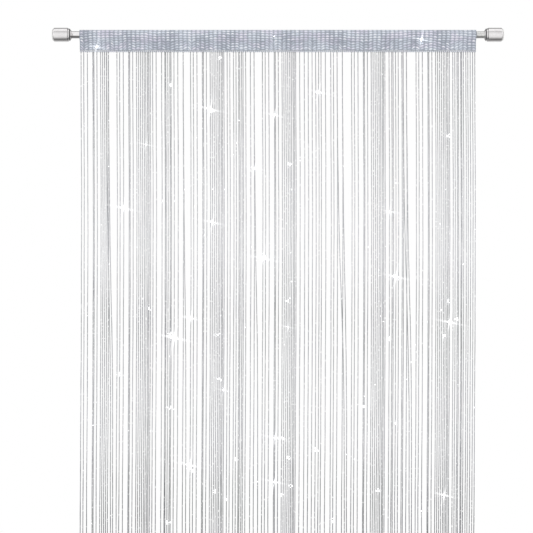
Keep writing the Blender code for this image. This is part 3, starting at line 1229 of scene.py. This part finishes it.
    def centrelines(self, rows: np.ndarray, number: int) -> np.ndarray:
        """Paths of a section's strings: straight down, with the shared sway, the drift and a small wobble.

        The wobble is a sum of sines of depth with random phases. It grows from nought at the root.

        Args:
            rows: The section's rows of place, layer, drift and length.
            number: The section's number, for its random phases.

        Returns:
            The paths, as (strings, rings, 3).
        """
        random_numbers = np.random.default_rng(self.seed + 9 + number)
        share = np.linspace(0.0, 1.0, self.rings)
        course = np.array(self.course)
        kernel = self.course_blur * np.linspace(-1.0, 1.0, 9)
        spread_share = np.clip(share[:, None] + kernel, 0.0, 1.0)
        sway = np.interp(spread_share, course[:, 0], course[:, 1]).mean(axis=1)
        drift = np.interp(spread_share, course[:, 0], course[:, 2]).mean(axis=1)
        sway, drift = sway - sway[0] * (1.0 - share), drift - drift[0] * (1.0 - share)
        place, layer, reach, length = (rows[:, column, None] for column in range(4))
        depth = length * share
        wobble = np.zeros((2, *depth.shape))
        for wavelength, size in self.wobble_waves:
            phase = random_numbers.uniform(0.0, math.tau, (2, len(rows), 1))
            wobble += size * np.sin(math.tau * depth / wavelength + phase)
        wobble *= np.clip(depth / self.wobble_onset, 0.0, 1.0)
        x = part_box("header")[0][0] + place + sway + reach * drift + wobble[0]
        y = layer * self.layer_depth + self.wobble_depth_share * wobble[1]
        return joined(x, y, self.root_height() - depth)

    def strings(self, paths: np.ndarray, number: int) -> Surface:
        """Yarns: tubes whose radius swells and thins a little, and draws in at the cut end.

        Args:
            paths: The strings' paths.
            number: The section's number.

        Returns:
            The yarns of one section.
        """
        random_numbers = np.random.default_rng(self.seed + 39 + number)
        swell = random_numbers.normal(size=paths.shape[:2])
        swell = (swell + np.roll(swell, 1, axis=1) + np.roll(swell, 2, axis=1)) / 3.0
        radii = self.string_radius * (1.0 + self.string_swell * swell)
        radii[:, -1] *= self.tip_share
        return tubes(paths, radii, self.sides)

    def braid(self) -> Surface:
        """Braided edge: an oval of two plies that wind along X.

        The oval's size is multiplied by 1 + swell cos(2 (angle - turns)).

        Returns:
            The braid.
        """
        low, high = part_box("header")
        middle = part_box("string_fringe")[1][2] - 0.5 * self.strip_height
        x = np.linspace(low[0], high[0], self.braid_rings)[:, None]
        angle = circle(self.braid_sides)
        wave = np.cos(2.0 * (angle - math.tau * x / self.braid_turn))
        ply = 1.0 + self.braid_swell * wave
        y = 0.5 * self.strip_thickness * ply * np.cos(angle)
        z = middle + 0.58 * self.strip_height * ply * np.sin(angle)
        faces = tube_faces(1, self.braid_rings, self.braid_sides)
        return Surface(joined(x, y, z).reshape(-1, 3), faces, attributes={"relief": 0.5 + 0.5 * wave})

    def knots(self, roots: np.ndarray) -> Surface:
        """Small knots where the strings leave the braid: balls that are taller than wide.

        Args:
            roots: The middles of the knots.

        Returns:
            All knots.
        """
        sides, rings = 8, 6
        angle = circle(sides)
        tilt = np.linspace(0.5 * math.pi, -0.5 * math.pi, rings + 2)[1:-1, None]
        around = self.knot_radius * np.cos(tilt)
        ball = joined(around * np.cos(angle), around * np.sin(angle), self.knot_half_height * np.sin(tilt))
        points = (roots[:, None] + ball.reshape(-1, 3)).reshape(-1, 3)
        return Surface(points, tube_faces(len(roots), rings, sides))

    def frayed_ends(self, tips: np.ndarray) -> Surface:
        """Fibres that spread from each cut end: thin tubes that bend outwards as they fall.

        Args:
            tips: The lowest points of the strings.

        Returns:
            All fibres.
        """
        random_numbers = np.random.default_rng(self.seed + 70)
        shape = (len(tips), self.fibres, 1)
        heading = random_numbers.uniform(0.0, math.tau, shape)
        spread = random_numbers.uniform(*self.fibre_spread, shape)
        length = random_numbers.uniform(*self.fibre_length, shape)
        share = np.linspace(0.0, 1.0, 5)
        out = spread * share**1.6
        x, y, z = (tips[:, None, None, axis] for axis in range(3))
        paths = joined(x + out * np.cos(heading), y + out * np.sin(heading), z + 0.002 - length * share)
        paths = paths.reshape(-1, len(share), 3)
        radii = np.broadcast_to(self.fibre_radius * (1.0 - 0.6 * share), paths.shape[:2])
        return tubes(paths, radii, 4)

    def loose_glitter(self, paths: np.ndarray, amount: tuple, seed: int) -> Surface:
        """Flecks at random places on the outside of the strings.

        Args:
            paths: All strings' paths.
            amount: How many, and the range of their half widths.
            seed: First of the three seeds, of their places, sizes and tilts.

        Returns:
            The flecks.
        """
        count, half_widths = amount
        random_numbers = np.random.default_rng(seed)
        string = random_numbers.integers(0, len(paths), count)
        ring = random_numbers.integers(3, self.rings - 2, count)
        angle = random_numbers.uniform(0.0, math.tau, count)
        out = joined(np.cos(angle), np.sin(angle), 0.0) * self.string_radius
        sizes = np.random.default_rng(seed + 1).uniform(*half_widths, count)
        return flecks(paths[string, ring] + out, sizes, seed + 2)

    def nearest_places(self, paths: np.ndarray, wanted: np.ndarray) -> np.ndarray:
        """For each wanted place, the nearest string as seen from the front, at its height and just before it.

        Args:
            paths: All strings' paths.
            wanted: Rows of distance from the left edge and depth below the header's top.

        Returns:
            The places.
        """
        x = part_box("header")[0][0] + wanted[:, 0]
        z = self.header_top - wanted[:, 1]
        flat = paths.reshape(-1, 3)
        miss = (flat[None, :, 0] - x[:, None]) ** 2 + (flat[None, :, 2] - z[:, None]) ** 2
        nearest = flat[miss.argmin(axis=1)]
        return joined(nearest[:, 0], nearest[:, 1] - self.stand_off * self.string_radius, z)

    def build(self) -> None:
        """Make and dress the strings, the braid, the knots, the frayed ends and the glitter."""
        yarn = TwistedYarn().material()
        all_paths = []
        for number, section in enumerate(self.section_rows(), start=1):
            paths = self.centrelines(section, number)
            all_paths.append(paths)
            self.strings(paths, number).make(f"strings_section_{number}", yarn, "string_yarn")
        paths = np.concatenate(all_paths)
        # The braid's plies take the knit's painted light and shade by their relief
        braid = self.braid().make("edge_braid", RibbedKnit("edge_yarn").material(), "header_knit")
        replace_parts(braid, "string_fringe")
        roots = paths[:, 0] - np.array([0.0, 0.0, 0.6 * self.strip_height])
        self.knots(roots).make("string_knots", yarn, "string_yarn")
        self.frayed_ends(paths[:, -1]).make("frayed_ends", yarn, "string_yarn")
        foil = Glitter("string_foil").material()
        dull_glitter = self.loose_glitter(paths, self.dull_flecks, self.seed + 80)
        dull_glitter.make("string_glitter", foil, "string_yarn")
        # Glowing foil: painted sparkle in the strings and their soft bright patches
        bright = Glitter("glowing_sparkle_foil", glow=5.0).material()
        glowing_glitter = self.loose_glitter(paths, self.glowing_flecks, self.seed + 84)
        glowing_glitter.make("glowing_glitter", bright, "string_yarn")
        random_numbers = np.random.default_rng(self.seed + 90)
        patches = np.repeat(np.array(self.patches), self.flecks_a_patch, axis=0)
        patches = patches + random_numbers.normal(0.0, self.patch_spread, patches.shape)
        sizes = random_numbers.uniform(*self.patch_half_width, len(patches))
        patch_flecks = flecks(self.nearest_places(paths, patches), sizes, self.seed + 91, 0.5)
        patch_flecks.make("patch_glitter", bright, "string_yarn")
        # Glowing flecks: painted glints
        shine = Glitter("glint_foil", glow=110.0).material()
        glints = np.array(self.glints)
        glint_flecks = flecks(self.nearest_places(paths, glints[:, :2]), glints[:, 2], self.seed + 83, 0.8)
        glint_flecks.make("strong_glints", shine, "string_yarn")


@dataclass
class Studio:
    """Camera, white surroundings, floor and the star-shaped glare of the glints."""

    frame_width: float = 1.2123
    distance: float = 2.8
    off_centre: float = -0.0258
    below_rod: float = 0.527
    sensor: float = 36.0
    floor_gap: float = 0.02
    floor_radius: float = 3.0
    floor_steps: int = 96
    # Steps of the glare: kind and settings
    glares: tuple = (
        ("STREAKS", (("Threshold", 2.0), ("Strength", 1.0), ("Streaks", 4), ("Streaks Angle", math.radians(78.0)),
                     ("Fade", 0.83), ("Iterations", 3), ("Color Modulation", 0.0))),
        ("BLOOM", (("Threshold", 2.5), ("Strength", 0.10), ("Size", 0.12))),
    )
    # What metal sees all round the rod: degrees up from straight ahead of it, and brightness
    bands: tuple = (
        (-180, 0.60), (-146, 0.72), (-118, 0.30), (-93, 0.15), (-77, 0.28), (-61, 0.58), (-44, 0.82),
        (-15, 0.90), (7, 0.90), (23, 0.82), (41, 0.66), (58, 0.70), (76, 1.30), (88, 1.00), (103, 0.48),
        (136, 0.42), (180, 0.60),
    )

    def camera(self) -> None:
        """Level camera straight in front, far enough that the photo's frame is as wide as it was."""
        low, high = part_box("header")
        data = bpy.data.cameras.new("camera")
        data.sensor_width = self.sensor
        data.lens = self.sensor * self.distance / self.frame_width
        camera = bpy.data.objects.new("camera", data)
        camera.location = (0.5 * (low[0] + high[0]) + self.off_centre, -self.distance, -self.below_rod)
        camera.rotation_euler = (0.5 * math.pi, 0.0, 0.0)
        bpy.context.scene.collection.objects.link(camera)
        bpy.context.scene.camera = camera

    def floor(self) -> None:
        """Round pale floor just below the strings' ends: (r cos angle, r sin angle) about the middle."""
        low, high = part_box("string_fringe")
        height = low[2] - self.floor_gap
        angle = circle(self.floor_steps)
        middle = 0.5 * (low[0] + high[0])
        rim = joined(middle + self.floor_radius * np.cos(angle), self.floor_radius * np.sin(angle), height)
        mesh = bpy.data.meshes.new("floor")
        mesh.from_pydata(rim.tolist(), [], [list(range(self.floor_steps))])
        floor = bpy.data.objects.new("floor", mesh)
        bpy.context.scene.collection.objects.link(floor)
        mesh.materials.append(PaleFloor().material())
        floor.visible_glossy = False

    def surroundings(self) -> None:
        """White surroundings, which metal sees as bands of light and dark all round the rod."""
        world = bpy.data.worlds.new("white_studio")
        bpy.context.scene.world = world
        world.use_nodes = True
        shader = Shader("white_studio", world.node_tree)
        direction = shader.out(shader.node("ShaderNodeTexCoord"), "Generated")
        x, y, z = shader.axes(direction)
        turn = math_node(world.node_tree, "ARCTAN2", z, y * -1.0) * (0.5 / math.pi) + 0.5
        bands = shader.ramp(turn, [(0.5 + degrees / 360.0, value) for degrees, value in self.bands])
        sideways = x.math("ABSOLUTE").step(0.45, 0.85) * z.step(-0.45, 0.30)
        seen = shader.blend(sideways * 0.8, bands, (1.05, 1.05, 1.06))
        is_gloss = shader.out(shader.node("ShaderNodeLightPath"), "Is Glossy Ray")
        colour = shader.blend(is_gloss, (1.0, 1.0, 1.0), seen)
        background = world.node_tree.nodes["Background"]
        plug(world.node_tree, background.inputs["Color"], colour)
        background.inputs["Strength"].default_value = 1.0

    def glare(self) -> None:
        """Star-shaped streaks round whatever is far brighter than white."""
        scene = bpy.context.scene
        scene.use_nodes = True
        tree = scene.node_tree
        tree.nodes.clear()
        image = tree.nodes.new("CompositorNodeRLayers").outputs["Image"]
        for kind, settings in self.glares:
            glare = tree.nodes.new("CompositorNodeGlare")
            glare.glare_type = kind
            glare.quality = "HIGH"
            for name, value in settings:
                glare.inputs[name].default_value = value
            tree.links.new(image, glare.inputs["Image"])
            image = glare.outputs["Image"]
        composite = tree.nodes.new("CompositorNodeComposite")
        tree.links.new(image, composite.inputs["Image"])

    def build(self) -> None:
        """Set up the whole studio."""
        bpy.context.scene.view_settings.view_transform = "Standard"
        self.camera()
        self.floor()
        self.surroundings()
        self.glare()


def main() -> None:
    """Build the rod, the header, the fringe and the studio, and note the sizes."""
    logging.basicConfig(level=logging.INFO, format="%(message)s")
    rod = TensionRod().build()
    Header().build(rod)
    Fringe().build()
    Studio().build()


if __name__ == "__main__":
    main()
